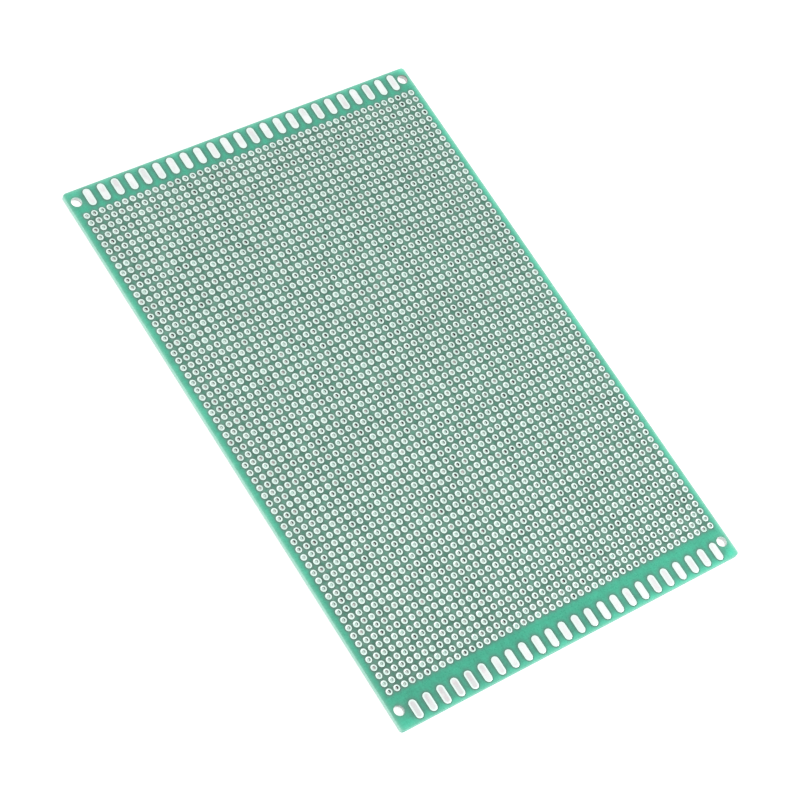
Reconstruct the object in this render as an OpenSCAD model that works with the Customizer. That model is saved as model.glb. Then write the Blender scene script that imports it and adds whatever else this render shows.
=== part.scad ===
// Double-sided prototype board: a drilled laminate with plated holes on a 2.54 mm grid,
// a row of long solder pads at each short end and a mounting hole near each corner.
// X runs across the board, Y along it towards the far end, Z up.
// The origin is at the middle of the board, level with the underside of the pads.

/* [Board] */
// Width of the board, across the short side
board_w = 120; // [60:1:140]
// Length of the board, along the long side
board_l = 180; // [80:1:200]
// Thickness of the laminate with its green coat
board_t = 1.6; // [0.8:0.1:3.2]
// Radius of the board's corners
corner_r = 1; // [0.2:0.1:2]

/* [Plated holes] */
// Distance between neighbouring holes
pitch = 2.54; // [2.5:0.01:5.08]
// Least distance from the outer columns to the long sides
side_margin = 2.5; // [1.5:0.1:10]
// Least distance from the outer rows to the ends, which leaves room for the edge pads
end_margin = 9.5; // [9:0.1:20]
// Distance of the grid's middle from the board's middle, across
grid_x = 0.1; // [-0.3:0.05:0.3]
// Distance of the grid's middle from the board's middle, along
grid_y = 1.1; // [-1.1:0.05:1.1]
// Bore of a plated hole
hole_d = 1; // [0.6:0.05:1.2]
// Thickness of the plating on the wall of the hole
plating_t = 0.05; // [0.02:0.01:0.1]
// Diameter of a round pad
pad_d = 1.95; // [1.6:0.05:2.2]
// Height of a pad above the coat
pad_rise = 0.05; // [0.03:0.01:0.1]

/* [Edge pads] */
// Distance between neighbouring edge pads
edge_pitch = 4.65; // [3:0.05:8]
// Width of an edge pad
edge_pad_w = 2.4; // [1:0.1:2.8]
// Length of an edge pad, with its round ends
edge_pad_l = 5.7; // [3:0.1:6]
// Distance from an edge pad to the board's end
edge_gap = 0.85; // [0.3:0.05:1.5]
// Least distance from the outer edge pads' middles to the long sides
edge_side = 6; // [5.5:0.1:12]
// Distance of the row's middle from the board's middle, across
edge_x = 0.4; // [-0.5:0.05:0.5]

/* [Mounting holes] */
// Bore of a mounting hole
mount_d = 3.2; // [2:0.1:3.4]
// Distance from a mounting hole's axis to the long side
mount_side = 2.6; // [2.3:0.05:3]
// Distance from the far mounting holes' axes to the far end
mount_far = 3.75; // [3:0.05:6]
// Distance from the near mounting holes' axes to the near end
mount_near = 5.45; // [3:0.05:6]

/* [Hidden] */
$fn = 48;
// Columns and rows of plated holes that the margins leave room for
columns = floor((board_w - 2 * side_margin) / pitch) + 1;
rows = floor((board_l - 2 * end_margin) / pitch) + 1;
// Edge pads that one end has room for
edge_pads = floor((board_w - 2 * edge_side) / edge_pitch) + 1;

// Levels of the coat's two faces and of the upper pads' top
under_z = pad_rise;
top_z = under_z + board_t;
full_h = top_z + pad_rise;
// Drill of a plated hole, before it is plated
drill_d = hole_d + 2 * plating_t;
// Middle of an edge pad, from the board's middle
edge_y = board_l / 2 - edge_gap - edge_pad_l / 2;

// The drilled face is parted into fields by hairlines, each as deep as it is wide
field_rows = 8;
hairline = 0.02;
fields = ceil(rows / field_rows);

function column_x(column) = grid_x + (column - (columns - 1) / 2) * pitch;
function row_y(row) = grid_y + (row - (rows - 1) / 2) * pitch;
// Line between two fields, halfway between two rows; the outer ones are the board's ends
function field_y(field) =
    field == 0 ? -board_l / 2 :
    field == fields ? board_l / 2 :
    row_y(field * field_rows - 0.5);
function column_name(column) = str("plated_column_", column < 9 ? "0" : "", column + 1);

// Outline of the whole board, with round corners
module board_outline() {
    square([board_w - 2 * corner_r, board_l], center = true);
    square([board_w, board_l - 2 * corner_r], center = true);
    for (x = [-1, 1], y = [-1, 1])
        translate([x * (board_w / 2 - corner_r), y * (board_l / 2 - corner_r)])
            circle(r = corner_r);
}

// The four mounting holes, as circles
module mounting_holes() {
    for (x = [-1, 1]) {
        translate([x * (board_w / 2 - mount_side), board_l / 2 - mount_far]) circle(d = mount_d);
        translate([x * (board_w / 2 - mount_side), mount_near - board_l / 2]) circle(d = mount_d);
    }
}

// The drilled holes of one field, as circles
module field_holes(field) {
    first = field * field_rows;
    last = min(first + field_rows, rows) - 1;
    for (row = [first:last])
        for (column = [0:columns - 1])
            translate([column_x(column), row_y(row)]) circle(d = drill_d);
}

// One field of the board, from the hairline before it to the hairline after it
module field_plate(field) {
    low = field_y(field) + (field == 0 ? 0 : hairline / 2);
    high = field_y(field + 1) - (field == fields - 1 ? 0 : hairline / 2);
    linear_extrude(board_t)
        difference() {
            intersection() {
                board_outline();
                translate([-board_w / 2, low]) square([board_w, high - low]);
            }
            field_holes(field);
            mounting_holes();
        }
}

// The board's glass-fibre sheet with its green coat, one drilled piece
module laminate() {
    color("seagreen")
        translate([0, 0, under_z]) {
            for (field = [0:fields - 1]) field_plate(field);
            for (field = [1:fields - 1])
                translate([-board_w / 2, field_y(field) - hairline / 2, hairline])
                    cube([board_w, hairline, board_t - 2 * hairline]);
        }
}

// One plated hole: the barrel in the drill with a crowned ring of tin on either face
module plated_hole() {
    rotate_extrude()
        polygon([
            [hole_d / 2, 0],
            [pad_d / 2, under_z],
            [drill_d / 2, under_z],
            [drill_d / 2, top_z],
            [pad_d / 2, top_z],
            [hole_d / 2, full_h]
        ]);
}

// The plated holes of one column
module plated_column(column) {
    color("gainsboro")
        for (row = [0:rows - 1])
            translate([column_x(column), row_y(row), 0]) plated_hole();
}

// One edge pad, a flat bar with round ends
module edge_pad() {
    straight = edge_pad_l - edge_pad_w;
    linear_extrude(pad_rise) {
        square([edge_pad_w, straight], center = true);
        for (end = [-1, 1]) translate([0, end * straight / 2]) circle(d = edge_pad_w);
    }
}

// A row of edge pads along one end: at the far end where end is 1, at the near one where it is -1
module edge_row(end, z) {
    color("silver")
        for (i = [0:edge_pads - 1])
            translate([edge_x + (i - (edge_pads - 1) / 2) * edge_pitch, end * edge_y, z])
                edge_pad();
}

laminate();
edge_row(1, top_z);  // edge_pads_far_top
edge_row(1, 0);  // edge_pads_far_bottom
edge_row(-1, top_z);  // edge_pads_near_top
edge_row(-1, 0);  // edge_pads_near_bottom
for (column = [0:columns - 1])
    plated_column(column);
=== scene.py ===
# %% [markdown]
# # A prototype board, dressed step by step
#
# The object is a bare circuit board for trying things out: a green sheet with thousands of
# plated holes. The frame holds its pieces at their real size. This lesson keeps every place
# and size from that frame and gives the board the surfaces that the real one has: tin that
# crowns round each hole, a semi-gloss green coat, and pale glass fibre where the sheet is cut.

# %% Load the frame
import math

import bmesh
import bpy
from mathutils import Matrix, Vector


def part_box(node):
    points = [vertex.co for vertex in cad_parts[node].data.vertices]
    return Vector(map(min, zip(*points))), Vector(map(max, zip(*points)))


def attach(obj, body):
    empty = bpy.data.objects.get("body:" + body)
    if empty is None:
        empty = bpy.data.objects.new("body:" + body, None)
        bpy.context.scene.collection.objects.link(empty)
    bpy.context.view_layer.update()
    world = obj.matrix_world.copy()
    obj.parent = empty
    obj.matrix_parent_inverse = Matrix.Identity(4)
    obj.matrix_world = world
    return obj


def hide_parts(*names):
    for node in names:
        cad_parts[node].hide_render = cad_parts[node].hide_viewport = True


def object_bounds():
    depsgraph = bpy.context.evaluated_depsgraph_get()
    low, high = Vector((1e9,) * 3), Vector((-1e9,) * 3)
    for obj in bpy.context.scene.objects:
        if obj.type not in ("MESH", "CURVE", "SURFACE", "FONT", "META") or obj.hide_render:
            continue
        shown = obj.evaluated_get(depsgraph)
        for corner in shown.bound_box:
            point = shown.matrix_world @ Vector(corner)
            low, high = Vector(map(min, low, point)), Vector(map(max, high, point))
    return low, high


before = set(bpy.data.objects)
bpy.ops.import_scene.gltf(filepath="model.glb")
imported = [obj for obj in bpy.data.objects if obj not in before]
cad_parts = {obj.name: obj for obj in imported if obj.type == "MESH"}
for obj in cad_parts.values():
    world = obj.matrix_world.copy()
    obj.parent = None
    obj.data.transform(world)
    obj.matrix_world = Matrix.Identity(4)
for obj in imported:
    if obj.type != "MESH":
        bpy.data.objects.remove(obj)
cad_low, cad_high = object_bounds()
MM = 0.001
print("frame loaded:", len(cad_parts), "nodes")

# %% [markdown]
# ## Sizes
#
# A board is drawn on a grid, so nearly all of its places follow from a few numbers. Reading
# them off the frame's boxes keeps the looks and the frame together: one column gives the pad's
# width and the number of rows, and the distance between two columns is printed beside them.
# Only what a box can't show, such as a bore, is written here as a size.

# %% Read the sizes off the frame
SHEET_LOW, SHEET_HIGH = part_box("laminate")
columns = sorted(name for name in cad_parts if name.startswith("plated_column"))
first_low, first_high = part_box(columns[0])
second_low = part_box(columns[1])[0]

pitch = 2.54 * MM
pad_r = (first_high.x - first_low.x) / 2
rows = round((first_high.y - first_low.y - 2 * pad_r) / pitch) + 1
first_hole = Vector(((first_low.x + first_high.x) / 2, first_low.y + pad_r, 0))
sheet_t = SHEET_HIGH.z - SHEET_LOW.z
pad_rise = first_high.z - SHEET_HIGH.z
bore_r = 0.5 * MM
drill_r = 0.55 * MM
print(f"{len(columns)} columns of {rows} holes, {(second_low.x - first_low.x) / MM:.3f} mm apart")
print(f"sheet {sheet_t / MM:.2f} mm thick")
print(f"pads {2 * pad_r / MM:.2f} mm wide and {pad_rise / MM:.3f} mm proud")

# %% [markdown]
# ## Camera
#
# The photograph looks down on the board over its near left corner with a long lens, and the
# board lies askew in the picture, so the camera is rolled as well. An angle round the board,
# an angle above it and a roll say all of that. The camera aims at a point on the board that
# lands in the middle of the picture, so the lens needs no shift.

# %% Place the camera
CAMERA_AZIMUTH = math.radians(-150.36)
CAMERA_ELEVATION = math.radians(56.0)
CAMERA_ROLL = math.radians(31.27)
CAMERA_DISTANCE = 0.733
CAMERA_LENS = 117.66
CAMERA_TARGET = Vector((-5.20 * MM, -6.41 * MM, SHEET_HIGH.z))


def place_camera():
    back = Vector((
        math.cos(CAMERA_ELEVATION) * math.cos(CAMERA_AZIMUTH),
        math.cos(CAMERA_ELEVATION) * math.sin(CAMERA_AZIMUTH),
        math.sin(CAMERA_ELEVATION),
    ))
    level = Vector((-math.sin(CAMERA_AZIMUTH), math.cos(CAMERA_AZIMUTH), 0))
    up = back.cross(level)
    right = math.cos(CAMERA_ROLL) * level + math.sin(CAMERA_ROLL) * up
    above = math.cos(CAMERA_ROLL) * up - math.sin(CAMERA_ROLL) * level
    data = bpy.data.cameras.new("camera")
    data.sensor_width = 36
    data.lens = CAMERA_LENS
    data.clip_start = 0.01
    data.clip_end = 20
    camera = bpy.data.objects.new("camera", data)
    bpy.context.scene.collection.objects.link(camera)
    turn = Matrix((right, above, back)).transposed().to_4x4()
    camera.matrix_world = Matrix.Translation(CAMERA_TARGET + CAMERA_DISTANCE * back) @ turn
    bpy.context.scene.camera = camera
    return camera


camera = place_camera()
print("camera at", [round(v, 3) for v in camera.matrix_world.translation])

# %% [markdown]
# ## Helpers for modelling by hand
#
# Blender's edit-mode tools act on what is selected, so each step selects first and then
# extrudes, scales or moves. A few small helpers do the selecting by place, which is what a
# hand with a mouse would do, and bake each finished piece so that its object stays at the
# origin with its place in its mesh.

# %% Helpers: select and edit
def deselect_all():
    bpy.ops.object.select_all(action="DESELECT")


def start_editing(piece):
    deselect_all()
    bpy.context.view_layer.objects.active = piece
    piece.select_set(True)
    bpy.ops.object.mode_set(mode="EDIT")


def stop_editing():
    bpy.ops.object.mode_set(mode="OBJECT")


def pick_faces(piece, wanted):
    """Select the faces whose centre passes the test."""
    shape = bmesh.from_edit_mesh(piece.data)
    bpy.ops.mesh.select_all(action="DESELECT")
    shape.select_mode = {"FACE"}
    for face in shape.faces:
        if wanted(face.calc_center_median(), face):
            face.select_set(True)
    shape.select_flush_mode()
    bmesh.update_edit_mesh(piece.data)


def pick_edges(piece, wanted):
    """Select the edges whose two ends both pass the test."""
    shape = bmesh.from_edit_mesh(piece.data)
    bpy.ops.mesh.select_mode(type="EDGE")
    bpy.ops.mesh.select_all(action="DESELECT")
    for edge in shape.edges:
        if all(wanted(point.co) for point in edge.verts):
            edge.select_set(True)
    bmesh.update_edit_mesh(piece.data)


deselect_all()
print("selected now:", len(bpy.context.selected_objects), "objects")

# %% Helpers: step out, apply, settle and report
def step_out(centre, ratio, lift):
    """Extrude what is selected, scale it about a centre and lift it."""
    bpy.ops.mesh.extrude_region_move()
    bpy.ops.transform.resize(value=(ratio, ratio, 1), center_override=centre)
    bpy.ops.transform.translate(value=(0, 0, lift))


def apply_modifiers(piece):
    bpy.context.view_layer.objects.active = piece
    for modifier in list(piece.modifiers):
        bpy.ops.object.modifier_apply(modifier=modifier.name)


def settle(piece):
    """Move the object's place, turn and scale into its mesh."""
    deselect_all()
    piece.select_set(True)
    bpy.context.view_layer.objects.active = piece
    bpy.ops.object.transform_apply(location=True, rotation=True, scale=True)


def report(piece):
    print(f"{piece.name}: {len(piece.data.polygons)} faces")


print("modelling helpers ready")

# %% [markdown]
# ## The drilled sheet
#
# The real sheet is cut from glass fibre and drilled by machine, one hole on every crossing of
# the grid. Cutting 2944 cylinders out of a block with a Boolean would be slow and leave messy
# faces. So the sheet starts flat, as one square cell of the grid with its hole: a small circle
# and a square turned by 45 degrees, with faces filled in between.

# %% Cell with one drilled hole
HOLE_SIDES = 12


def drilled_cell():
    place = (first_hole.x, first_hole.y, SHEET_HIGH.z)
    bpy.ops.mesh.primitive_circle_add(vertices=HOLE_SIDES, radius=drill_r, location=place)
    cell = bpy.context.object
    settle(cell)
    start_editing(cell)
    bpy.ops.mesh.primitive_circle_add(
        vertices=4, radius=pitch / math.sqrt(2), location=place, rotation=(0, 0, math.pi / 4)
    )
    bpy.ops.mesh.select_all(action="SELECT")
    bpy.ops.mesh.fill(use_beauty=True)
    stop_editing()
    return cell


sheet = drilled_cell()
sheet.name = "coated_sheet"
report(sheet)

# %% [markdown]
# ## The grid of holes
#
# The drilling machine steps along row after row. An Array modifier does the same, once across
# and once along, and merging the points where two cells meet makes one sheet of them all. The
# modifier keeps the step exact, which copying by hand would not.

# %% Repeat the cell over the grid
CLOSE = 0.01 * MM


def repeat(piece, count, step, weld=False):
    """Copy a piece in a straight line with an applied Array modifier."""
    array = piece.modifiers.new("repeat", "ARRAY")
    array.count = count
    array.use_relative_offset = False
    array.use_constant_offset = True
    array.constant_offset_displace = step
    array.use_merge_vertices = weld
    array.merge_threshold = CLOSE
    apply_modifiers(piece)


repeat(sheet, len(columns), (pitch, 0, 0), weld=True)
repeat(sheet, rows, (0, pitch, 0), weld=True)
report(sheet)

# %% [markdown]
# ## Outline and mounting holes
#
# Round the grid the board has plain margins with a larger hole near each corner. The outline
# is a plane brought to the board's size, whose corners are rounded by a vertex bevel, and the
# mounting holes are circles. They stay bare edges until one fill closes the space between
# them and the grid's border. Filling once gives faces that meet without gaps or overlaps.

# %% Outline, mounting holes and margins
CORNER_R = 1.0 * MM
MOUNT_R = 1.6 * MM
MOUNT_SIDES = 48
MOUNT_SIDE = 2.6 * MM
MOUNT_FAR = 3.75 * MM
MOUNT_NEAR = 5.45 * MM
GRID_LOW = first_hole - Vector((pitch / 2, pitch / 2, 0))
GRID_HIGH = GRID_LOW + Vector((len(columns) * pitch, rows * pitch, 0))
mount_centres = [
    Vector((side * (SHEET_HIGH.x - MOUNT_SIDE), y, SHEET_HIGH.z))
    for side in (-1, 1)
    for y in (SHEET_HIGH.y - MOUNT_FAR, SHEET_LOW.y + MOUNT_NEAR)
]


def add_margins(piece):
    middle = (SHEET_LOW + SHEET_HIGH) / 2
    width = SHEET_HIGH.x - SHEET_LOW.x
    length = SHEET_HIGH.y - SHEET_LOW.y
    start_editing(piece)
    bpy.ops.mesh.select_mode(type="VERT")
    bpy.ops.mesh.primitive_plane_add(size=1, location=(middle.x, middle.y, SHEET_HIGH.z))
    bpy.ops.transform.resize(
        value=(width, length, 1), center_override=(middle.x, middle.y, SHEET_HIGH.z)
    )
    bpy.ops.mesh.bevel(offset=CORNER_R, segments=6, affect="VERTICES")
    bpy.ops.mesh.delete(type="ONLY_FACE")
    for centre in mount_centres:
        bpy.ops.mesh.primitive_circle_add(vertices=MOUNT_SIDES, radius=MOUNT_R, location=centre)

    def in_margin(point):
        inside_x = GRID_LOW.x + CLOSE < point.x < GRID_HIGH.x - CLOSE
        inside_y = GRID_LOW.y + CLOSE < point.y < GRID_HIGH.y - CLOSE
        return not (inside_x and inside_y)

    pick_edges(piece, in_margin)
    bpy.ops.mesh.fill(use_beauty=True)
    bpy.ops.mesh.select_all(action="SELECT")
    bpy.ops.mesh.normals_make_consistent(inside=False)
    stop_editing()


add_margins(sheet)
report(sheet)

# %% [markdown]
# ## Thickness and cut edge
#
# Solidify thickens the flat figure downwards, so that every wall is made in one go. Where the
# router cut the board out it left a fine bevel, which catches the light. Only the sharp edges
# of the outline get one. The drilled edges stay sharp, as the drill leaves them, and tin lies
# over all but those of the mounting holes.

# %% Give the sheet its thickness and break its cut edge
EDGE_BREAK = 0.06 * MM
SHARP = math.radians(60)


def thicken(piece):
    solid = piece.modifiers.new("thickness", "SOLIDIFY")
    solid.thickness = sheet_t
    solid.offset = -1
    apply_modifiers(piece)


def at_outline(point, reach=0.02 * MM):
    """True on the outer wall, with its round corners."""
    over_x = abs(point.x) - (SHEET_HIGH.x - CORNER_R)
    over_y = abs(point.y) - (SHEET_HIGH.y - CORNER_R)
    if over_x > 0 and over_y > 0:
        return math.hypot(over_x, over_y) > CORNER_R - reach
    return max(over_x, over_y) > CORNER_R - reach


def break_edge(piece):
    """A fine bevel where the router left the faces."""
    start_editing(piece)
    shape = bmesh.from_edit_mesh(piece.data)
    bpy.ops.mesh.select_mode(type="EDGE")
    bpy.ops.mesh.select_all(action="DESELECT")
    for edge in shape.edges:
        a, b = (point.co for point in edge.verts)
        level = abs(a.z - b.z) < CLOSE
        if level and at_outline(a) and at_outline(b) and edge.calc_face_angle(0) > SHARP:
            edge.select_set(True)
    bmesh.update_edit_mesh(piece.data)
    bpy.ops.mesh.bevel(offset=EDGE_BREAK, segments=2, affect="EDGES")
    stop_editing()


thicken(sheet)
break_edge(sheet)
report(sheet)
print("sheet from z", round(min(v.co.z for v in sheet.data.vertices) / MM, 3),
      "to", round(max(v.co.z for v in sheet.data.vertices) / MM, 3))

# %% [markdown]
# ## One plated hole
#
# Copper lines each hole and spreads into a round pad on both faces, and the tin over it
# stands highest at the mouth. A cylinder as thick as the drill is a good start: each end
# steps out to the pad's rim and from there climbs inwards to the mouth, and bridging the two
# ends makes the bore. With twelve sides that is six dozen faces, which counts when the shape
# is repeated almost three thousand times.

# %% Model one plated hole
BARREL_SLACK = 0.01 * MM


def plated_hole():
    barrel_r = drill_r - BARREL_SLACK
    middle = Vector((first_hole.x, first_hole.y, (SHEET_LOW.z + SHEET_HIGH.z) / 2))
    bpy.ops.mesh.primitive_cylinder_add(
        vertices=HOLE_SIDES, radius=barrel_r, depth=sheet_t, location=middle, end_fill_type="NGON"
    )
    hole = bpy.context.object
    settle(hole)
    start_editing(hole)
    for side in (1, -1):
        level = middle.z + side * sheet_t / 2
        pick_faces(hole, lambda centre, face: abs(centre.z - level) < CLOSE)
        step_out(middle, pad_r / barrel_r, 0)
        step_out(middle, bore_r / pad_r, side * pad_rise)
    pick_faces(hole, lambda centre, face: len(face.verts) == HOLE_SIDES)
    bpy.ops.mesh.bridge_edge_loops()
    bpy.ops.mesh.select_all(action="SELECT")
    bpy.ops.mesh.normals_make_consistent(inside=False)
    stop_editing()
    return hole


pattern_hole = plated_hole()
report(pattern_hole)

# %% [markdown]
# ## Columns of plated holes
#
# One hole is repeated along the board into a column, and the column is copied across the
# board. Each copy has a mesh of its own and stands for the frame's column of the same number.

# %% Repeat the hole into columns
def make_columns(hole):
    repeat(hole, rows, (0, pitch, 0))
    made = []
    for number in range(len(columns)):
        column = hole if number == 0 else hole.copy()
        if number:
            column.data = hole.data.copy()
            column.data.transform(Matrix.Translation((number * pitch, 0, 0)))
            bpy.context.scene.collection.objects.link(column)
        made.append(column)
    for column, name in zip(made, columns):
        column.name = name.replace("plated", "tinned")
    return made


tinned_columns = make_columns(pattern_hole)
print(len(tinned_columns), "columns,", sum(len(c.data.polygons) for c in tinned_columns), "faces")

# %% [markdown]
# ## Edge pads
#
# Along each short end lies a row of long pads for wires and connectors. A round plate whose
# two halves are pulled apart has exactly their outline, with no joint where a bar would meet
# its round ends. Two small insets give it the rounded shoulder of tin. The row is repeated
# like the holes, on both faces.

# %% Model the edge pads
EDGE_PAD_W = 2.4 * MM
EDGE_PAD_PITCH = 4.65 * MM
EDGE_PAD_SIDES = 26
SHOULDER_W = 0.10 * MM
SHOULDER_RISE = 0.7
DOME_W = 0.35 * MM
HAIR = 0.001 * MM


def edge_row(node):
    low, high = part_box(node)
    side = 1 if low.z > SHEET_LOW.z else -1
    level = SHEET_HIGH.z if side == 1 else SHEET_LOW.z
    pull = (high.y - low.y - EDGE_PAD_W) / 2
    shoulder = side * pad_rise * SHOULDER_RISE / 2
    centre = Vector((low.x + EDGE_PAD_W / 2, (low.y + high.y) / 2, level))
    bpy.ops.mesh.primitive_circle_add(
        vertices=EDGE_PAD_SIDES, radius=EDGE_PAD_W / 2, location=centre, fill_type="NGON"
    )
    row = bpy.context.object
    settle(row)
    start_editing(row)
    for end in (1, -1):
        pick_edges(row, lambda point: end * (point.y - centre.y) > 0)
        bpy.ops.transform.translate(value=(0, end * pull, 0))
    bpy.ops.mesh.select_all(action="SELECT")
    bpy.ops.mesh.extrude_region_move(TRANSFORM_OT_translate={"value": (0, 0, shoulder)})
    pick_faces(row, lambda middle, face: abs(middle.z - level - shoulder) < HAIR)
    bpy.ops.mesh.normals_make_consistent(inside=False)
    bpy.ops.mesh.inset(thickness=SHOULDER_W, depth=abs(shoulder))
    bpy.ops.mesh.inset(thickness=DOME_W, depth=pad_rise * (1 - SHOULDER_RISE))
    bpy.ops.mesh.select_all(action="SELECT")
    bpy.ops.mesh.normals_make_consistent(inside=False)
    stop_editing()
    count = round((high.x - low.x - EDGE_PAD_W) / EDGE_PAD_PITCH) + 1
    repeat(row, count, (EDGE_PAD_PITCH, 0, 0))
    row.name = node.replace("edge_pads", "tinned_edge_pads")
    report(row)
    return row


edge_nodes = [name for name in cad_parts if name.startswith("edge_pads")]
tinned_edges = {node: edge_row(node) for node in sorted(edge_nodes)}

# %% [markdown]
# ## Materials: helpers
#
# Each finish is worked out by nodes from Object coordinates, so that it sits at its real
# scale and stays with the board. These helpers add a node, wire numbers or other nodes into
# it, and do sums. The same nodes could be placed by hand, but a short line for each keeps a
# material short enough to read.

# %% Helper: a node tree with short ways to build it
class Tree:
    """A node tree with short ways to add and wire nodes."""

    def __init__(self, tree):
        self.tree = tree

    def add(self, kind, **settings):
        node = self.tree.nodes.new(kind)
        for key, value in settings.items():
            setattr(node, key, value)
        return node

    def feed(self, socket, value):
        if isinstance(value, bpy.types.NodeSocket):
            self.tree.links.new(value, socket)
        else:
            socket.default_value = value

    def sum(self, operation, *values, clamp=False):
        node = self.add("ShaderNodeMath", operation=operation, use_clamp=clamp)
        for socket, value in zip(node.inputs, values):
            self.feed(socket, value)
        return node.outputs[0]

    def vector(self, operation, *values):
        node = self.add("ShaderNodeVectorMath", operation=operation)
        for socket, value in zip(node.inputs, values):
            self.feed(socket, value)
        return node.outputs["Value" if operation == "DISTANCE" else "Vector"]

    def blend(self, factor, low, high):
        """Mix two colours."""
        node = self.add("ShaderNodeMix", data_type="RGBA")
        self.feed(node.inputs[0], factor)
        self.feed(node.inputs[6], low)
        self.feed(node.inputs[7], high)
        return node.outputs[2]

    def ramp(self, value, low, high, start=0.0, end=1.0):
        """Ease a value from start to end while it goes from low to high."""
        node = self.add("ShaderNodeMapRange", interpolation_type="SMOOTHSTEP")
        for socket, number in zip(node.inputs, (value, low, high, start, end)):
            self.feed(socket, number)
        return node.outputs[0]

    def noise(self, where, scale, detail=2.0, roughness=0.5):
        node = self.add("ShaderNodeTexNoise")
        self.feed(node.inputs["Vector"], where)
        node.inputs["Scale"].default_value = scale
        node.inputs["Detail"].default_value = detail
        node.inputs["Roughness"].default_value = roughness
        return node.outputs["Fac"]

    def place(self):
        return self.add("ShaderNodeTexCoord").outputs["Object"]

    def split(self, vector):
        """The x, y and z of a place."""
        node = self.add("ShaderNodeSeparateXYZ")
        self.feed(node.inputs[0], vector)
        return node.outputs

    def scaled(self, colour, factor):
        node = self.add("ShaderNodeVectorMath", operation="SCALE")
        self.feed(node.inputs[0], colour)
        self.feed(node.inputs["Scale"], factor)
        return node.outputs[0]

    def group(self, group, **values):
        node = self.add("ShaderNodeGroup")
        node.node_tree = group
        for name, value in values.items():
            self.feed(node.inputs[name.replace("_", " ")], value)
        return node.outputs


print("node tree helper ready")

# %% Helpers: new group, new material and bump
def new_group(name, inputs, outputs):
    group = bpy.data.node_groups.new(name, "ShaderNodeTree")
    for label, kind, default in inputs:
        socket = group.interface.new_socket(label, in_out="INPUT", socket_type=kind)
        if default is not None:
            socket.default_value = default
    for label, kind in outputs:
        group.interface.new_socket(label, in_out="OUTPUT", socket_type=kind)
    tree = Tree(group)
    return group, tree, tree.add("NodeGroupInput").outputs, tree.add("NodeGroupOutput").inputs


def new_material(name):
    material = bpy.data.materials.new(name)
    material.use_nodes = True
    tree = Tree(material.node_tree)
    return material, tree, material.node_tree.nodes["Principled BSDF"]


def set_bump(tree, shader, height, distance):
    bump = tree.add("ShaderNodeBump")
    bump.inputs["Strength"].default_value = 1.0
    bump.inputs["Distance"].default_value = distance
    tree.feed(bump.inputs["Height"], height)
    tree.feed(shader.inputs["Normal"], bump.outputs[0])


print("group, material and bump helpers ready")

# %% [markdown]
# ## Shared effect: where the copper is
#
# Much of the board's look depends on how far a spot is from copper: the pad itself, the bare
# ring that the coat leaves round it, and the shade that copper throws into the sheet, which is
# painted. For a round pad, rounding a place to the grid gives the nearest hole. The rounded
# place is also a seed, so that every hole can differ from its neighbours, and a slow drift
# across the board makes the holes with darker painted shade in their bores lie in patches. For
# a long pad, the distance is taken from the line between the middles of its two round ends. The
# two distances come out one by one as well, because the two kinds of pad shade the sheet
# differently. So do the steps across and along from a hole's middle, so that the painted shade
# in a bore can reach lower on one side than on the other. A painted mask could show all this,
# but distances stay sharp at any zoom and follow the board's own sizes.

# %% Steps to the nearest copper
FAR_LOW, FAR_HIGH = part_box("edge_pads_far_top")
EDGE_PAD_Y = (FAR_LOW.y + FAR_HIGH.y) / 2
EDGE_PAD_PULL = (FAR_HIGH.y - FAR_LOW.y - EDGE_PAD_W) / 2
EDGE_PAD_COUNT = round((FAR_HIGH.x - FAR_LOW.x - EDGE_PAD_W) / EDGE_PAD_PITCH) + 1


def nearest_step(tree, value, first, step, count):
    """The whole number of steps to the nearest copy, and how far away that copy is."""
    steps = tree.sum("DIVIDE", tree.sum("SUBTRACT", value, first), step)
    nearest = tree.sum("FLOOR", tree.sum("ADD", steps, 0.5))
    nearest = tree.sum("MAXIMUM", tree.sum("MINIMUM", nearest, count - 1), 0)
    return nearest, tree.sum("MULTIPLY", tree.sum("SUBTRACT", steps, nearest), step / MM)


def length_of(tree, across, along):
    squares = tree.sum("ADD", tree.sum("POWER", across, 2), tree.sum("POWER", along, 2))
    return tree.sum("SQRT", squares)


print(EDGE_PAD_COUNT, "edge pads in a row,", round(EDGE_PAD_Y / MM, 2), "mm from the middle")

# %% Group: copper map
COPPER_OUTPUTS = ("Across", "Along", "Hole", "Round", "Long", "Copper", "Chance", "Second Chance")
OWN_SHARE = 0.6
PATCH_SHARE = 0.4


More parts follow.
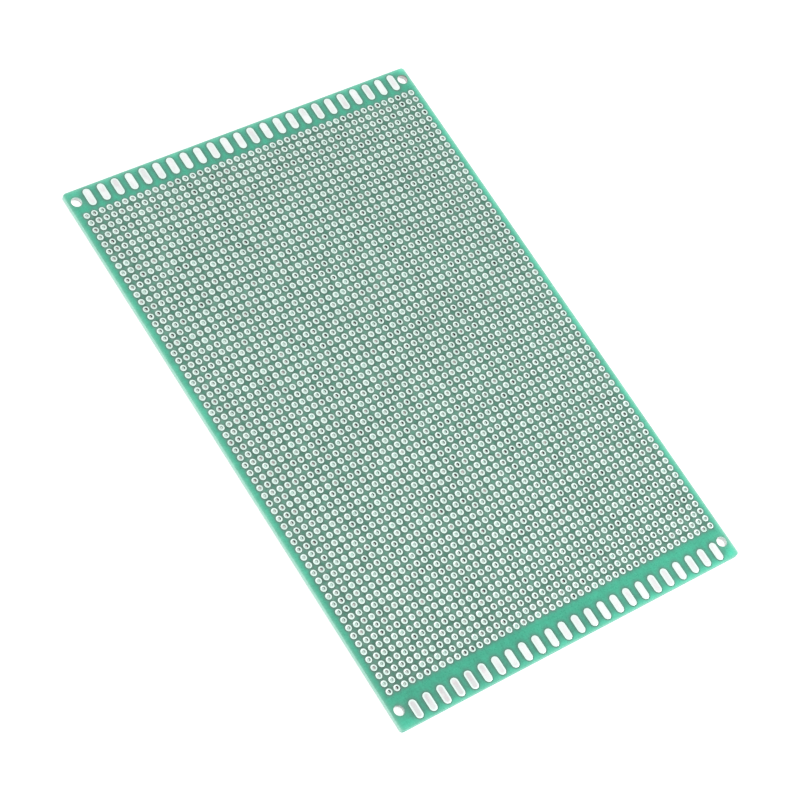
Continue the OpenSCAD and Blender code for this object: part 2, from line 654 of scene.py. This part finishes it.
def copper_map_group():
    group, tree, given, result = new_group(
        "copper map",
        [("Place", "NodeSocketVector", None)],
        [(name, "NodeSocketFloat") for name in COPPER_OUTPUTS],
    )
    x, y = tree.split(given["Place"])[:2]
    column, across = nearest_step(tree, x, first_hole.x, pitch, len(columns))
    row, along = nearest_step(tree, y, first_hole.y, pitch, rows)
    hole = length_of(tree, tree.sum("ABSOLUTE", across), tree.sum("ABSOLUTE", along))
    first_pad = FAR_LOW.x + EDGE_PAD_W / 2
    aside = nearest_step(tree, x, first_pad, EDGE_PAD_PITCH, EDGE_PAD_COUNT)[1]
    from_row = tree.sum("ABSOLUTE", tree.sum("SUBTRACT", tree.sum("ABSOLUTE", y), EDGE_PAD_Y))
    past_end = tree.sum("MAXIMUM", tree.sum("SUBTRACT", from_row, EDGE_PAD_PULL), 0)
    long_pad = length_of(tree, tree.sum("ABSOLUTE", aside), tree.sum("DIVIDE", past_end, MM))
    to_round = tree.sum("SUBTRACT", hole, pad_r / MM)
    to_long = tree.sum("SUBTRACT", long_pad, EDGE_PAD_W / 2 / MM)
    to_copper = tree.sum("MINIMUM", to_round, to_long)
    cell = tree.add("ShaderNodeCombineXYZ")
    tree.feed(cell.inputs[0], column)
    tree.feed(cell.inputs[1], row)
    dice = tree.add("ShaderNodeTexWhiteNoise", noise_dimensions="2D")
    tree.feed(dice.inputs["Vector"], cell.outputs[0])
    drift = tree.ramp(tree.noise(cell.outputs[0], scale=0.16), 0.3, 0.7)
    own_part = tree.sum("MULTIPLY", dice.outputs["Value"], OWN_SHARE)
    chance = tree.sum("ADD", own_part, tree.sum("MULTIPLY", drift, PATCH_SHARE))
    second_chance = tree.split(dice.outputs["Color"])[1]
    values = (across, along, hole, to_round, to_long, to_copper, chance, second_chance)
    for name, value in zip(COPPER_OUTPUTS, values):
        tree.feed(result[name], value)
    return group


COPPER_MAP = copper_map_group()
print("group made:", COPPER_MAP.name)

# %% [markdown]
# ## Shared effect: mottle
#
# No real surface is one even tone. A broad drift, blotches of a few millimetres and a fine
# grain are laid over the coat, the tin and the cut edge alike, each at its own strength. A
# picture could carry them too, but noise has no seams, never repeats and keeps its real size.

# %% Group: mottle
def mottle_group():
    group, tree, given, result = new_group(
        "mottle",
        [
            ("Place", "NodeSocketVector", None),
            ("Drift", "NodeSocketFloat", 0.05),
            ("Blotch", "NodeSocketFloat", 0.05),
            ("Grain", "NodeSocketFloat", 0.05),
        ],
        [("Shade", "NodeSocketFloat"), ("Height", "NodeSocketFloat")],
    )
    broad = tree.noise(given["Place"], scale=30)
    blotch = tree.noise(given["Place"], scale=340)
    fine = tree.noise(given["Place"], scale=2200, detail=3, roughness=0.6)
    total = 1.0
    for pattern, strength in ((broad, "Drift"), (blotch, "Blotch"), (fine, "Grain")):
        part = tree.sum("MULTIPLY", tree.sum("SUBTRACT", pattern, 0.5), given[strength])
        total = tree.sum("ADD", part, total)
    tree.feed(result["Shade"], total)
    tree.feed(result["Height"], fine)
    return group


MOTTLE = mottle_group()
print("group made:", MOTTLE.name)

# %% [markdown]
# ## Shared effect: glass cloth
#
# The sheet is layers of woven glass in resin. Through the coat the weave shows as a faint
# criss-cross, and on a cut wall its layers end in level lines. Waves would draw it as well,
# but as straight as with a ruler. Noise that is stretched along one axis makes threads with
# small faults, and two such noises at right angles make cloth.

# %% Group: glass cloth
ACROSS_THREADS = (1, 0.08, 1)
ALONG_THREADS = (0.08, 1, 1)
FLAT_LAYERS = (0.04, 0.04, 1)
THREAD_SCALE = 1500
LAYER_SCALE = 6000


def glass_cloth_group():
    group, tree, given, result = new_group(
        "glass cloth",
        [("Place", "NodeSocketVector", None)],
        [("Weave", "NodeSocketFloat"), ("Layers", "NodeSocketFloat")],
    )
    place = given["Place"]
    warp = tree.noise(tree.vector("MULTIPLY", place, ACROSS_THREADS), THREAD_SCALE, detail=1)
    weft = tree.noise(tree.vector("MULTIPLY", place, ALONG_THREADS), THREAD_SCALE, detail=1)
    layers = tree.noise(tree.vector("MULTIPLY", place, FLAT_LAYERS), LAYER_SCALE, detail=1)
    tree.feed(result["Weave"], tree.sum("MULTIPLY", tree.sum("ADD", warp, weft), 0.5))
    tree.feed(result["Layers"], tree.ramp(layers, 0.35, 0.65))
    return group


GLASS_CLOTH = glass_cloth_group()
print("group made:", GLASS_CLOTH.name)

# %% [markdown]
# ## Green coat
#
# The coat is a clear green lacquer over pale glass fibre. In the margins light comes back out
# of the sheet as a strong green. Light also enters at the cut walls, most at those that face
# it, so a painted glow brightens the green towards each side by a share of its own, and the
# last half millimetre is a painted pale mint. Copper catches the light: between the round pads
# painted shade makes the coat dark and patchy, and in the margins it is shaded only close to a
# pad. Round each mounting hole a greyish halo of painted shade darkens the coat. The coat stops
# just short of each pad, which leaves a narrow ring of bare sheet, dark partly as painted shade,
# and it was printed a hair to the left of the copper. Towards the near left corner painted shade
# makes the board a little darker, the tin more than the coat.

# %% Colours and reaches of the coat
# The open coat, and the coat where copper shades it in the margins and in the grid
MARGIN_GREEN = (0.045, 0.465, 0.288, 1)
MARGIN_SHADE = (0.080, 0.300, 0.225, 1)
FIELD_SHADE = (0.121, 0.188, 0.157, 1)
# Painted glow towards a cut wall, and a painted pale rim in the last half millimetre before it
GLOW_GREEN = (0.070, 0.688, 0.445, 1)
RIM_MINT = (0.750, 0.930, 0.860, 1)
# Painted shade beside a long pad and round a mounting hole, and the ring that the coat leaves
# bare, dark partly as painted shade
PAD_SHADE = (0.078, 0.235, 0.170, 1)
MOUNT_SHADE = (0.160, 0.230, 0.200, 1)
BARE_SHADED_RING = (0.068, 0.160, 0.118, 1)
# How far each shade and rim reaches, in mm
FIELD_REACH = 1.4
MARGIN_REACH = 0.55
PAD_REACH = 1.1
OUTLINE_REACH = 0.5
MOUNT_REACH = 0.6
RIM_REACH = 0.5
RING_W = 0.10
RING_SOFT = 0.03
# How far the glow reaches beside copper and where none is near, in mm
GLOW_REACH = 2.8
OPEN_REACH = 4.2
# How strong the glow and the rim are at the near, right, far and left sides
GLOW_SHARES = (0.88, 0.58, 0.47, 0.16)
RIM_SHARES = (0.22, 0.62, 0.34, 0.28)
MOUNT_SHARE = 0.5
# Where the grid's shade gives way to the margin's, in mm outside the outer holes, and how far
# that border is moved towards the near left corner
GRID_ENDS = (-0.9, 2.3)
GRID_LEAN = 0.25
COAT_SHIFT = Vector((-0.03, -0.01, 0)) * MM
# The corner where painted shade darkens the board, how far that reaches, and what it leaves of
# the coat
SHADED_CORNER = (SHEET_LOW.x, SHEET_LOW.y, SHEET_HIGH.z)
CORNER_SHADE_REACH = 75 * MM
CORNER_SHADE_COAT = 0.92
# Between the holes the shade is patchy. The right side is lit more than the left one.
PATCH_SCALE = 520
PATCH_TONES = (0.65, 1.35)
SIDE_TONES = (0.85, 1.05)
WEAVE_TONES = (0.96, 1.04)
COAT_ROUGH = (0.26, 0.36)
COAT_BUMP = 0.02 * MM
print("open coat", MARGIN_GREEN[:3], "and between the holes", FIELD_SHADE[:3])

# %% Helpers: the grid and the sides
def outside_grid(tree, place):
    """How far a place lies outside the outer holes' axes, in mm, and less than nought inside."""
    x, y = tree.split(place)[:2]
    half = Vector(((len(columns) - 1) * pitch / 2, (rows - 1) * pitch / 2, 0))
    middle = first_hole + half - Vector((GRID_LEAN * MM, GRID_LEAN * MM, 0))
    beyond = []
    for value, centre, reach in ((x, middle.x, half.x), (y, middle.y, half.y)):
        away = tree.sum("ABSOLUTE", tree.sum("SUBTRACT", value, centre))
        beyond.append(tree.sum("SUBTRACT", away, reach))
    return tree.sum("DIVIDE", tree.sum("MAXIMUM", *beyond), MM)


def fading(tree, distance, reach):
    """1 at no distance, and less by the same share with each step away."""
    return tree.sum("EXPONENT", tree.sum("MULTIPLY", tree.sum("DIVIDE", distance, reach), -1))


def from_sides(tree, place, fade, shares):
    """A value that fades inwards from the near, right, far and left sides, each by its share."""
    x, y = tree.split(place)[:2]
    insides = (
        tree.sum("SUBTRACT", y, SHEET_LOW.y),
        tree.sum("SUBTRACT", SHEET_HIGH.x, x),
        tree.sum("SUBTRACT", SHEET_HIGH.y, y),
        tree.sum("SUBTRACT", x, SHEET_LOW.x),
    )
    total = 0.0
    for inside, share in zip(insides, shares):
        part = tree.sum("MULTIPLY", fade(tree.sum("DIVIDE", inside, MM)), share)
        total = tree.sum("ADD", part, total, clamp=True)
    return total


print("glow and rim fade in from", len(GLOW_SHARES), "sides")

# %% Helpers: copper, mounting holes and the shaded corner
PADS_BEGIN = EDGE_PAD_Y - EDGE_PAD_PULL - EDGE_PAD_W / 2


def copper_shade(tree, place, copper, margin):
    """Copper shades the sheet far in the grid, little in the margins, more between long pads."""
    from_middle = tree.sum("ABSOLUTE", tree.split(place)[1])
    reach = tree.ramp(margin, 0.0, 1.0, FIELD_REACH, MARGIN_REACH)
    pad_reach = tree.ramp(from_middle, PADS_BEGIN, PADS_BEGIN + 2 * MM, MARGIN_REACH, PAD_REACH)
    by_round = fading(tree, copper["Round"], reach)
    by_long = fading(tree, copper["Long"], pad_reach)
    return tree.sum("ADD", by_round, by_long, clamp=True)


def to_mounts(tree, place):
    """The distance to the rim of the nearest mounting hole, in mm."""
    nearest = None
    for centre in mount_centres:
        level = tree.vector("MULTIPLY", place, (1, 1, 0))
        away = tree.vector("DISTANCE", level, (centre.x, centre.y, 0))
        nearest = away if nearest is None else tree.sum("MINIMUM", nearest, away)
    return tree.sum("DIVIDE", tree.sum("SUBTRACT", nearest, MOUNT_R), MM)


def corner_shade(tree, place):
    """How much painted shade darkens a place: 1 at the near left corner, and less further away.
    """
    return tree.ramp(tree.vector("DISTANCE", place, SHADED_CORNER), CORNER_SHADE_REACH, 0.0)


print("the long pads begin", round(PADS_BEGIN / MM, 2), "mm from the middle")

# %% Material: green coat
def green_coat():
    material, tree, shader = new_material("green_coat")
    place = tree.place()
    printed_at = tree.vector("SUBTRACT", place, COAT_SHIFT)
    copper = tree.group(COPPER_MAP, Place=printed_at)
    mottle = tree.group(MOTTLE, Place=place, Drift=0.30, Blotch=0.35, Grain=0.45)
    weave = tree.group(GLASS_CLOTH, Place=place)["Weave"]
    margin = tree.ramp(outside_grid(tree, place), *GRID_ENDS)
    patchy = tree.ramp(tree.noise(place, PATCH_SCALE, detail=1), 0.3, 0.7, *PATCH_TONES)
    shaded = tree.blend(margin, tree.scaled(FIELD_SHADE[:3], patchy), MARGIN_SHADE)
    colour = tree.blend(copper_shade(tree, place, copper, margin), MARGIN_GREEN, shaded)
    colour = tree.blend(fading(tree, copper["Long"], OUTLINE_REACH), colour, PAD_SHADE)
    # Painted glow and pale rim where light would come in at the cut walls
    reach = tree.ramp(copper["Copper"], 1.0, 2.5, GLOW_REACH, OPEN_REACH)
    glow = from_sides(tree, place, lambda inside: tree.ramp(inside, reach, 0.0), GLOW_SHARES)
    glow = tree.sum("MULTIPLY", glow, tree.ramp(copper["Copper"], 0.0, 0.6))
    lit_side = tree.ramp(tree.split(place)[0], SHEET_LOW.x, SHEET_HIGH.x, *SIDE_TONES)
    colour = tree.blend(tree.sum("MULTIPLY", glow, lit_side), colour, GLOW_GREEN)
    # Painted shade: a greyish halo round each mounting hole
    painted_mount_halo = tree.sum("MULTIPLY", fading(tree, to_mounts(tree, place), MOUNT_REACH), MOUNT_SHARE)
    colour = tree.blend(painted_mount_halo, colour, MOUNT_SHADE)
    rim = from_sides(tree, place, lambda inside: fading(tree, inside, RIM_REACH), RIM_SHARES)
    colour = tree.blend(rim, colour, RIM_MINT)
    # The bare ring round each pad, sunk in the bump and dark partly as painted shade
    bare_and_shaded_ring = tree.ramp(copper["Copper"], RING_W + RING_SOFT, RING_W)
    colour = tree.blend(bare_and_shaded_ring, colour, BARE_SHADED_RING)
    mottle_and_shade = tree.sum("MULTIPLY", mottle["Shade"], tree.ramp(weave, 0.35, 0.65, *WEAVE_TONES))
    # Painted shade darkens the coat towards the near left corner
    shaded_by_corner = tree.ramp(corner_shade(tree, place), 0.0, 1.0, 1.0, CORNER_SHADE_COAT)
    mottle_and_shade = tree.sum("MULTIPLY", mottle_and_shade, shaded_by_corner)
    tree.feed(shader.inputs["Base Color"], tree.scaled(colour, mottle_and_shade))
    tree.feed(shader.inputs["Roughness"], tree.ramp(mottle["Height"], 0.3, 0.7, *COAT_ROUGH))
    height = tree.sum("SUBTRACT", tree.sum("MULTIPLY", weave, 0.3), bare_and_shaded_ring)
    set_bump(tree, shader, height, COAT_BUMP)
    return material


GREEN_COAT = green_coat()
print("material made:", GREEN_COAT.name)

# %% [markdown]
# ## Cut edge
#
# Where the sheet is routed, the coat ends and the bare glass fibre shows, matt and with fine
# level lines where the layers of cloth end. The long sides are a light mint that a painted light
# from the floor pales towards the underside, and the two short ends are greener. The way a wall
# faces tells which it is, so one material does for all four.

# %% Material: cut edge
EDGE_PALE = (0.440, 0.840, 0.690, 1)
EDGE_LINE = (0.330, 0.760, 0.600, 1)
EDGE_FLOOR_LIGHT = (0.620, 0.870, 0.760, 1)
END_PALE = (0.290, 0.745, 0.590, 1)
END_LINE = (0.225, 0.680, 0.520, 1)
CUT_ROUGH = 0.75
CUT_BUMP = 0.03 * MM


def cut_edge():
    material, tree, shader = new_material("cut_edge")
    place = tree.place()
    mottle = tree.group(MOTTLE, Place=place, Drift=0.06, Blotch=0.10, Grain=0.16)
    layers = tree.group(GLASS_CLOTH, Place=place)["Layers"]
    height = tree.sum("DIVIDE", tree.split(place)[2], MM)
    long_side = tree.blend(layers, EDGE_LINE, EDGE_PALE)
    # Painted light from the floor pales the long sides towards the underside
    long_side = tree.blend(tree.ramp(height, sheet_t / MM, 0.0), long_side, EDGE_FLOOR_LIGHT)
    end = tree.blend(layers, END_LINE, END_PALE)
    facing = tree.split(tree.add("ShaderNodeTexCoord").outputs["Normal"])
    colour = tree.blend(tree.ramp(tree.sum("ABSOLUTE", facing[1]), 0.3, 0.9), long_side, end)
    tree.feed(shader.inputs["Base Color"], tree.scaled(colour, mottle["Shade"]))
    shader.inputs["Roughness"].default_value = CUT_ROUGH
    set_bump(tree, shader, mottle["Height"], CUT_BUMP)
    return material


CUT_EDGE = cut_edge()
print("material made:", CUT_EDGE.name)

# %% [markdown]
# ## Drilled wall
#
# The mounting holes are drilled and not plated. Under the upper rim their walls are painted
# darker as shade: green, darkest at the near left hole, and a brownish grey at the far right
# one. Further down all four are pale glass fibre. Depth and place are all that tells these
# apart, so the four holes share one material.

# %% Material: drilled wall
# The band under the upper rim, painted as shade, then the pale fibre further down
DRILLED_GREEN = (0.440, 0.810, 0.700, 1)
DRILLED_DEEP = (0.115, 0.410, 0.315, 1)
DRILLED_BROWN = (0.150, 0.215, 0.155, 1)
DRILLED_PALE = (0.970, 0.950, 0.945, 1)
FAR_RIGHT_FROM = 60 * MM
FAR_RIGHT_TO = 120 * MM
# The depth at which a wall is pale glass fibre, in mm, and how deep at the shaded corner
PALE_DEPTH = 1.0
PALE_DEEPER = 1.6
LAYER_STEP = 0.12
DRILLED_ROUGH = 0.7


def drilled_wall():
    material, tree, shader = new_material("drilled_wall")
    place = tree.place()
    mottle = tree.group(MOTTLE, Place=place, Drift=0.06, Blotch=0.30, Grain=0.16)
    layers = tree.group(GLASS_CLOTH, Place=place)["Layers"]
    x, y, z = tree.split(place)
    depth = tree.sum("DIVIDE", tree.sum("SUBTRACT", SHEET_HIGH.z, z), MM)
    depth = tree.sum("ADD", depth, tree.sum("MULTIPLY", layers, LAYER_STEP))
    # Painted shade under the rim: brownish grey towards the far right, deeper green and reaching
    # lower at the near left corner
    towards_far_right = tree.ramp(tree.sum("ADD", x, y), FAR_RIGHT_FROM, FAR_RIGHT_TO)
    upper = tree.blend(towards_far_right, DRILLED_GREEN, DRILLED_BROWN)
    upper = tree.blend(corner_shade(tree, place), upper, DRILLED_DEEP)
    pale_from = tree.ramp(corner_shade(tree, place), 0.0, 1.0, PALE_DEPTH, PALE_DEEPER)
    colour = tree.blend(tree.ramp(depth, pale_from, 0.0), DRILLED_PALE, upper)
    tree.feed(shader.inputs["Base Color"], tree.scaled(colour, mottle["Shade"]))
    shader.inputs["Roughness"].default_value = DRILLED_ROUGH
    set_bump(tree, shader, mottle["Height"], CUT_BUMP)
    return material


DRILLED_WALL = drilled_wall()
print("material made:", DRILLED_WALL.name)

# %% [markdown]
# ## Tin on the round pads and in the bores
#
# The pads are tinned: bright, a little uneven, satin rather than mirror-like, with a painted
# reflection of the coat's green in them. A bump sinks each lip into its mouth, where it catches
# the light, because modelling the lip would cost faces in every one of almost three thousand
# holes.
# Under the mouth the bore is painted with shade, darker in some holes than in others and
# reaching lower on one side of the bore than on the other, and further down the tin is pale and
# mirrors the ground.
# That is why the grid of dark dots in the photograph has no two quite alike.

# %% Colour inside a bore
BORE_SHADE = (0.050, 0.054, 0.050, 1)
BORE_WARM = (0.850, 0.830, 0.810, 1)
BORE_GREEN = (0.760, 0.920, 0.860, 1)
# How dark the painted shade in a bore is, at the least and at the most, and how deep it ends, in
# mm
BORE_SHADE_SHARES = (0.36, 1.0)
BORE_SHADE_ENDS = (0.30, 0.80)
BORE_SHADE_LEAN = 0.6
BORE_SHADE_SOFT = 0.12
MOUTH_Z = SHEET_HIGH.z + pad_rise


def bore_colour(tree, place, copper):
    depth = tree.sum("DIVIDE", tree.sum("SUBTRACT", MOUTH_Z, tree.split(place)[2]), MM)
    shade_share = tree.ramp(copper["Chance"], 0.20, 0.75, *BORE_SHADE_SHARES)
    end = tree.ramp(copper["Second Chance"], 0.0, 1.0, *BORE_SHADE_ENDS)
    to_side = tree.sum("SUBTRACT", copper["Across"], copper["Along"])
    end = tree.sum("ADD", end, tree.sum("MULTIPLY", to_side, BORE_SHADE_LEAN))
    reached = tree.ramp(tree.sum("SUBTRACT", depth, end), BORE_SHADE_SOFT, -BORE_SHADE_SOFT)
    below_shade = tree.blend(copper["Second Chance"], BORE_GREEN, BORE_WARM)
    # Painted shade under the mouth, over the pale tin further down
    return tree.blend(tree.sum("MULTIPLY", shade_share, reached), below_shade, BORE_SHADE)


print("the mouths of the bores lie at z", round(MOUTH_Z / MM, 2), "mm")

# %% Material: tin with bores
# Bright and dull tin, both tinted by a painted reflection of the coat's green
RING_BRIGHT = (0.820, 0.990, 0.925, 1)
RING_DULL = (0.600, 0.800, 0.725, 1)
# Distances from the hole's middle where the bore begins and where the lip sinks, in mm
BORE_RIM = (0.52, 0.49)
LIP = (0.48, 0.78)
RING_METAL = (0.6, 0.95)
RING_ROUGH = (0.28, 0.42)
RING_BUMP = 0.07 * MM


def ring_tin():
    material, tree, shader = new_material("ring_tin")
    place = tree.place()
    copper = tree.group(COPPER_MAP, Place=place)
    mottle = tree.group(MOTTLE, Place=place, Drift=0.05, Blotch=0.10, Grain=0.14)
    patch = tree.ramp(tree.noise(place, scale=700), 0.42, 0.75)
    dull_and_shaded = tree.sum("MAXIMUM", patch, tree.ramp(copper["Second Chance"], 0.6, 1.0, 0.0, 0.6))
    in_bore = tree.ramp(copper["Hole"], *BORE_RIM)
    ring = tree.blend(dull_and_shaded, RING_BRIGHT, RING_DULL)
    colour = tree.blend(in_bore, ring, bore_colour(tree, place, copper))
    tree.feed(shader.inputs["Base Color"], tree.scaled(colour, mottle["Shade"]))
    tree.feed(shader.inputs["Metallic"], tree.ramp(in_bore, 0.0, 1.0, *RING_METAL))
    tree.feed(shader.inputs["Roughness"], tree.ramp(patch, 0.0, 1.0, *RING_ROUGH))
    lip = tree.ramp(copper["Hole"], *LIP)
    set_bump(tree, shader, tree.sum("ADD", lip, tree.sum("MULTIPLY", patch, 0.2)), RING_BUMP)
    return material


RING_TIN = ring_tin()
print("material made:", RING_TIN.name)

# %% [markdown]
# ## Tin on the edge pads
#
# The long pads are thick with tin and nearly white. Towards their rim they carry a painted
# reflection of the coat's mint, and here and there they are a plain or a warm grey, where the
# tin set dull. Towards the near left corner painted shade greys them all over. Three noises do
# this: a slow one says which pads have dull patches, a quicker one draws them and a third gives
# them their tone.

# %% Material: tin on the edge pads
PAD_WHITE = (0.945, 0.965, 0.962, 1)
PAD_GREY = (0.680, 0.695, 0.693, 1)
PAD_WARM = (0.700, 0.640, 0.655, 1)
# A painted reflection of the coat's mint, towards each pad's rim
PAD_MINT = (0.810, 0.995, 0.930, 1)
# How worn the least and the most worn pads are, and what painted shade adds at the near left
# corner
PAD_WORN = (0.10, 0.65)
CORNER_SHADE_SHARE = 0.7
# Distances from the rim, in mm, between which the painted reflection of the mint comes in
MINT_RIM = (-0.75, -0.15)
PAD_METAL = 0.6
PAD_ROUGH = (0.24, 0.34)
PAD_BUMP = 0.01 * MM


def edge_pad_tin():
    material, tree, shader = new_material("edge_pad_tin")
    place = tree.place()
    copper = tree.group(COPPER_MAP, Place=place)["Copper"]
    mottle = tree.group(MOTTLE, Place=place, Drift=0.03, Blotch=0.05, Grain=0.08)
    # Painted shade greys the pads towards the near left corner, on top of their dull patches
    dull_and_shaded = corner_shade(tree, place)
    patchy = tree.ramp(tree.noise(place, scale=200, detail=3), 0.38, 0.62)
    patchy = tree.sum("ADD", patchy, tree.sum("MULTIPLY", dull_and_shaded, CORNER_SHADE_SHARE), clamp=True)
    some = tree.ramp(tree.noise(place, scale=14), 0.35, 0.60, *PAD_WORN)
    some = tree.sum("ADD", some, dull_and_shaded, clamp=True)
    worn_and_shaded = tree.sum("MULTIPLY", patchy, some)
    warm = tree.ramp(tree.noise(place, scale=420), 0.42, 0.62)
    colour = tree.blend(worn_and_shaded, PAD_WHITE, tree.blend(warm, PAD_GREY, PAD_WARM))
    colour = tree.blend(tree.ramp(copper, *MINT_RIM), colour, PAD_MINT)
    tree.feed(shader.inputs["Base Color"], tree.scaled(colour, mottle["Shade"]))
    shader.inputs["Metallic"].default_value = PAD_METAL
    tree.feed(shader.inputs["Roughness"], tree.ramp(worn_and_shaded, 0.0, 1.0, *PAD_ROUGH))
    set_bump(tree, shader, tree.sum("ADD", worn_and_shaded, mottle["Height"]), PAD_BUMP)
    return material


EDGE_PAD_TIN = edge_pad_tin()
print("material made:", EDGE_PAD_TIN.name)

# %% [markdown]
# ## Putting the finishes on
#
# The sheet carries three finishes: its level faces are coated, its outer wall is routed and
# its other walls are drilled. A face's normal and place tell them apart. The tinned pieces
# are smooth across their crowns and sharp at their rims, which shading by angle does.

# %% Give each piece its finish
LEVEL = 0.9
SMOOTH_BELOW = math.radians(35)


def finish_sheet(piece):
    piece.data.materials.clear()
    for material in (GREEN_COAT, CUT_EDGE, DRILLED_WALL):
        piece.data.materials.append(material)
    for face in piece.data.polygons:
        if abs(face.normal.z) > LEVEL:
            face.material_index = 0
        elif at_outline(face.center, 2 * EDGE_BREAK):
            face.material_index = 1
        else:
            face.material_index = 2


def finish_tin(pieces, material):
    deselect_all()
    for piece in pieces:
        piece.data.materials.clear()
        piece.data.materials.append(material)
        piece.select_set(True)
        bpy.context.view_layer.objects.active = piece
    bpy.ops.object.shade_smooth_by_angle(angle=SMOOTH_BELOW)


finish_sheet(sheet)
finish_tin(tinned_columns, RING_TIN)
finish_tin(tinned_edges.values(), EDGE_PAD_TIN)
for index, material in enumerate(sheet.data.materials):
    count = sum(face.material_index == index for face in sheet.data.polygons)
    print(material.name, "on", count, "faces of the sheet")

# %% [markdown]
# ## Floor and backdrop
#
# The board lies on a white ground. A plane under it catches the shadow. To the camera, and to
# what mirrors it, the floor also glows a little, so that it shows as white, while the light
# that it throws back onto the board stays that of a plain matt floor. Light Path tells the two
# apart, which is better than more lamps, because those would bleach the board.

# %% Floor
FLOOR_SIZE = 3.0
FLOOR_GAP = 0.02 * MM
FLOOR_MATT = (0.86, 0.86, 0.86, 1)
FLOOR_GLOW = 0.55


def seen_by_eye(tree):
    """1 for rays from the camera, a mirror or clear glass, and 0 for light on its way."""
    rays = tree.add("ShaderNodeLightPath")
    seen = tree.sum("MAXIMUM", rays.outputs["Is Camera Ray"], rays.outputs["Is Glossy Ray"])
    return tree.sum("MAXIMUM", seen, rays.outputs["Is Transmission Ray"])


def make_floor():
    bpy.ops.mesh.primitive_plane_add(size=FLOOR_SIZE, location=(0, 0, cad_low.z - FLOOR_GAP))
    floor = bpy.context.object
    floor.name = "floor"
    settle(floor)
    material = bpy.data.materials.new("floor_white")
    material.use_nodes = True
    material.node_tree.nodes.clear()
    tree = Tree(material.node_tree)
    matt = tree.add("ShaderNodeBsdfDiffuse")
    matt.inputs["Color"].default_value = FLOOR_MATT
    glow = tree.add("ShaderNodeEmission")
    glow.inputs["Strength"].default_value = FLOOR_GLOW
    both = tree.add("ShaderNodeAddShader")
    tree.feed(both.inputs[0], matt.outputs[0])
    tree.feed(both.inputs[1], glow.outputs[0])
    choice = tree.add("ShaderNodeMixShader")
    tree.feed(choice.inputs[0], seen_by_eye(tree))
    tree.feed(choice.inputs[1], matt.outputs[0])
    tree.feed(choice.inputs[2], both.outputs[0])
    output = tree.add("ShaderNodeOutputMaterial")
    tree.feed(output.inputs["Surface"], choice.outputs[0])
    floor.data.materials.append(material)
    return floor


floor = make_floor()
print(floor.name, "at z", round((cad_low.z - FLOOR_GAP) / MM, 3))

# %% [markdown]
# ## World and lamps
#
# The light is plain and soft. The key lamp stands beyond the near right corner, because the
# walls and bores of the photograph are lit from there, and a broad weak lamp on the left keeps
# the other side of each bore from going black. The world fills the shadows. The tin needs
# something pale to mirror, so the world too is white to the camera and to mirrors, and less
# bright where it lights the board.

# %% World and lamps
WORLD_FILL = 0.62


def make_world():
    world = bpy.data.worlds.new("white_room")
    bpy.context.scene.world = world
    world.use_nodes = True
    tree = Tree(world.node_tree)
    background = world.node_tree.nodes["Background"]
    background.inputs["Color"].default_value = (1, 1, 1, 1)
    strength = tree.ramp(seen_by_eye(tree), 0.0, 1.0, WORLD_FILL, 1.0)
    tree.feed(background.inputs["Strength"], strength)


def add_lamp(name, place, power, size):
    data = bpy.data.lights.new(name, "AREA")
    data.energy = power
    data.size = size
    lamp = bpy.data.objects.new(name, data)
    bpy.context.scene.collection.objects.link(lamp)
    turn = (-Vector(place)).to_track_quat("-Z", "Y").to_matrix().to_4x4()
    lamp.matrix_world = Matrix.Translation(place) @ turn
    return lamp


make_world()
key_lamp = add_lamp("key_lamp", place=(0.86, -0.62, 0.95), power=10.0, size=0.8)
fill_lamp = add_lamp("fill_lamp", place=(-1.0, 0.10, 0.40), power=3.6, size=0.9)
print("lamps made:", key_lamp.name, fill_lamp.name)
bpy.context.scene.view_settings.view_transform = "Standard"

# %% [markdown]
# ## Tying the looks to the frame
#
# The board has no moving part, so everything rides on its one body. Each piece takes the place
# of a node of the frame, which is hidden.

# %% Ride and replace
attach(sheet, "root")
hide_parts("laminate")
for column, node in zip(tinned_columns, columns):
    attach(column, "root")
    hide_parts(node)
for node, row in tinned_edges.items():
    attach(row, "root")
    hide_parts(node)
